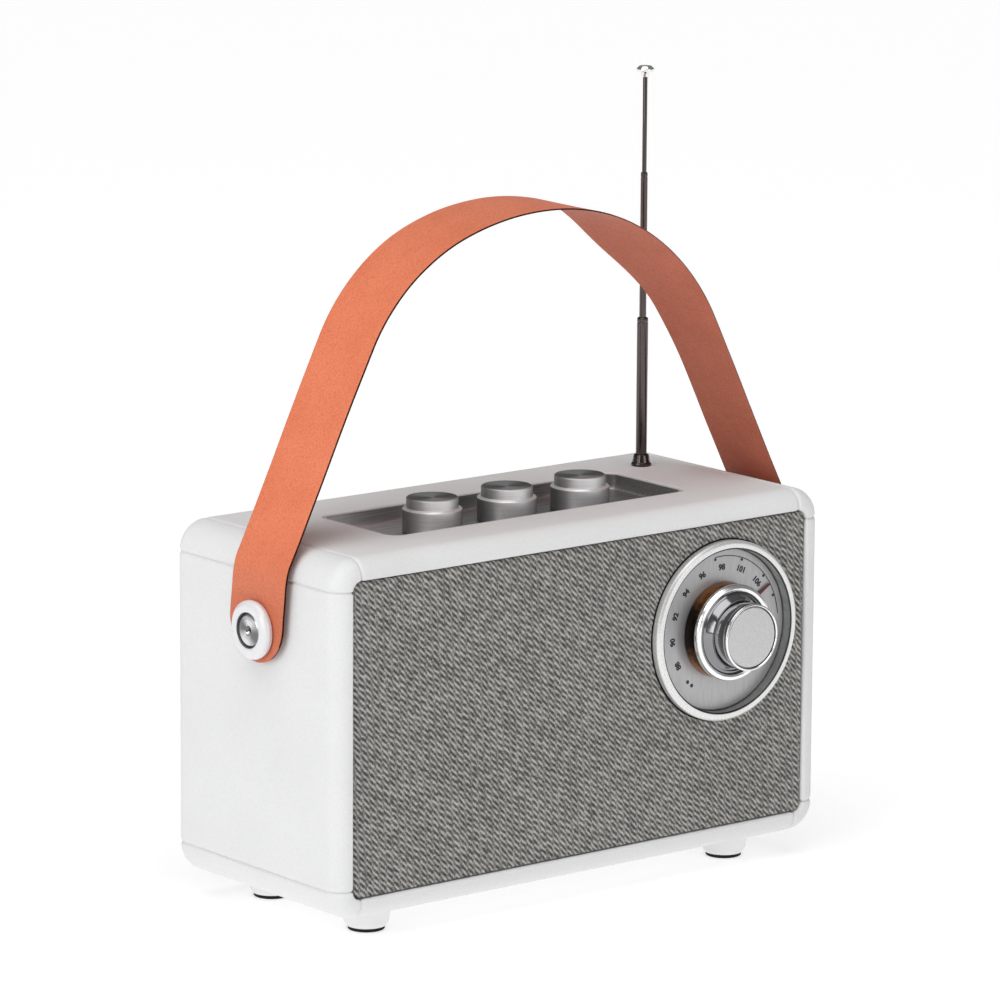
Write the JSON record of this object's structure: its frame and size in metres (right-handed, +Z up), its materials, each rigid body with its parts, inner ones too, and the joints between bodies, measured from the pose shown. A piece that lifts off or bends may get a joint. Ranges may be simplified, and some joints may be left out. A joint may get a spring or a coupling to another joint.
{
  "type": "portable radio",
  "caption": "Leather-covered portable radio with a cloth grille, round tuning dial, top controls in a metal tray, a telescopic aerial and a leather carrying strap.",
  "frame": {"origin": "on the floor at the middle of the whole object's bounding box, between the feet", "axes": "+Z up, -Y towards the front with the grille and the dial, +X towards the side that carries the dial and the aerial"},
  "size_m": [0.2128, 0.1, 0.2585],
  "materials": {
    "cabinet_board": "raw board",
    "white_leather": "fine grained, satin",
    "tan_leather": "fine grained, matte",
    "grille_fabric": "twill weave",
    "satin_silver": "satin",
    "polished_chrome": "polished",
    "bronze_chrome": "polished, bronze tint",
    "spun_aluminium": "spun",
    "brushed_tray": "brushed",
    "knob_face_metal": "satin",
    "dial_silver": "printed, satin",
    "needle_red": "painted",
    "dark_nickel": "dark nickel",
    "white_gloss": "glossy",
    "black_plastic": "matte",
    "black_rubber": "matte",
    "speaker_cone": "matte",
    "circuit_board": "solder mask",
    "battery_sleeve": "shrink sleeve",
    "steel": "plain"
  },
  "bodies": {
    "cabinet": {"cabinet_shell": "cabinet_board", "leather_top": "white_leather", "leather_bottom": "white_leather", "leather_left": "white_leather", "leather_right": "white_leather", "leather_corner_top_left": "white_leather", "leather_corner_top_right": "white_leather", "leather_corner_bottom_left": "white_leather", "leather_corner_bottom_right": "white_leather", "baffle_board": "cabinet_board", "grille_cloth": "grille_fabric", "speaker_basket_left": "steel", "speaker_cone_left": "speaker_cone", "speaker_basket_right": "steel", "speaker_cone_right": "speaker_cone", "dial_bezel": "satin_silver", "dial_plate": "dial_silver", "tuner_unit": "black_plastic", "control_tray": "brushed_tray", "control_board": "circuit_board", "aerial_collar": "dark_nickel", "strap_button_left": "white_gloss", "strap_button_right": "white_gloss", "strap_screw_left": "polished_chrome", "strap_screw_right": "polished_chrome", "back_cover": "black_plastic", "cover_screw_1": "steel", "cover_screw_2": "steel", "cover_screw_3": "steel", "cover_screw_4": "steel", "socket_plate": "black_plastic", "socket_block": "black_plastic", "main_board": "circuit_board", "battery_cell": "battery_sleeve", "foot_front_left": "white_gloss", "foot_pad_front_left": "black_rubber", "foot_front_right": "white_gloss", "foot_pad_front_right": "black_rubber", "foot_rear_left": "white_gloss", "foot_pad_rear_left": "black_rubber", "foot_rear_right": "white_gloss", "foot_pad_rear_right": "black_rubber"},
    "carrying_strap": {"strap": "tan_leather"},
    "tuning_control": {"tuning_collar": "bronze_chrome", "tuning_knob": "polished_chrome", "tuning_knob_face": "knob_face_metal", "tuning_shaft": "steel", "dial_needle": "needle_red"},
    "volume_control": {"volume_knob": "spun_aluminium", "volume_spindle": "steel"},
    "bass_control": {"bass_knob": "spun_aluminium", "bass_spindle": "steel"},
    "treble_control": {"treble_knob": "spun_aluminium", "treble_spindle": "steel"},
    "aerial_lower_section": {"aerial_lower": "dark_nickel"},
    "aerial_middle_section": {"aerial_middle": "dark_nickel"},
    "aerial_upper_section": {"aerial_upper": "dark_nickel", "aerial_tip": "polished_chrome"},
    "power_button": {"power_switch": "white_gloss"}
  },
  "joints": [
    {"name": "strap_swing", "type": "hinge", "parent": "cabinet", "child": "carrying_strap", "pos_m": [0, 0.002, 0.097], "axis": [1, 0, 0], "range_deg": [-6, 7]},
    {"name": "tuning_turn", "type": "hinge", "parent": "cabinet", "child": "tuning_control", "pos_m": [0.058, -0.036, 0.0815], "axis": [0, -1, 0], "range_deg": [-22, 193]},
    {"name": "volume_turn", "type": "hinge", "parent": "cabinet", "child": "volume_control", "pos_m": [-0.0305, 0.005, 0.124], "axis": [0, 0, 1], "range_deg": [-150, 150]},
    {"name": "bass_turn", "type": "hinge", "parent": "cabinet", "child": "bass_control", "pos_m": [0, 0.005, 0.124], "axis": [0, 0, 1], "range_deg": [-150, 150]},
    {"name": "treble_turn", "type": "hinge", "parent": "cabinet", "child": "treble_control", "pos_m": [0.0305, 0.005, 0.124], "axis": [0, 0, 1], "range_deg": [-150, 150]},
    {"name": "aerial_lower_slide", "type": "slide", "parent": "cabinet", "child": "aerial_lower_section", "axis": [0, 0, 1], "range_m": [-0.048, 0]},
    {"name": "aerial_middle_slide", "type": "slide", "parent": "aerial_lower_section", "child": "aerial_middle_section", "axis": [0, 0, 1], "range_m": [-0.047, 0]},
    {"name": "aerial_upper_slide", "type": "slide", "parent": "aerial_middle_section", "child": "aerial_upper_section", "axis": [0, 0, 1], "range_m": [-0.03, 0.014]},
    {"name": "power_slide", "type": "slide", "parent": "cabinet", "child": "power_button", "axis": [1, 0, 0], "range_m": [-0.0025, 0.0025]}
  ]
}
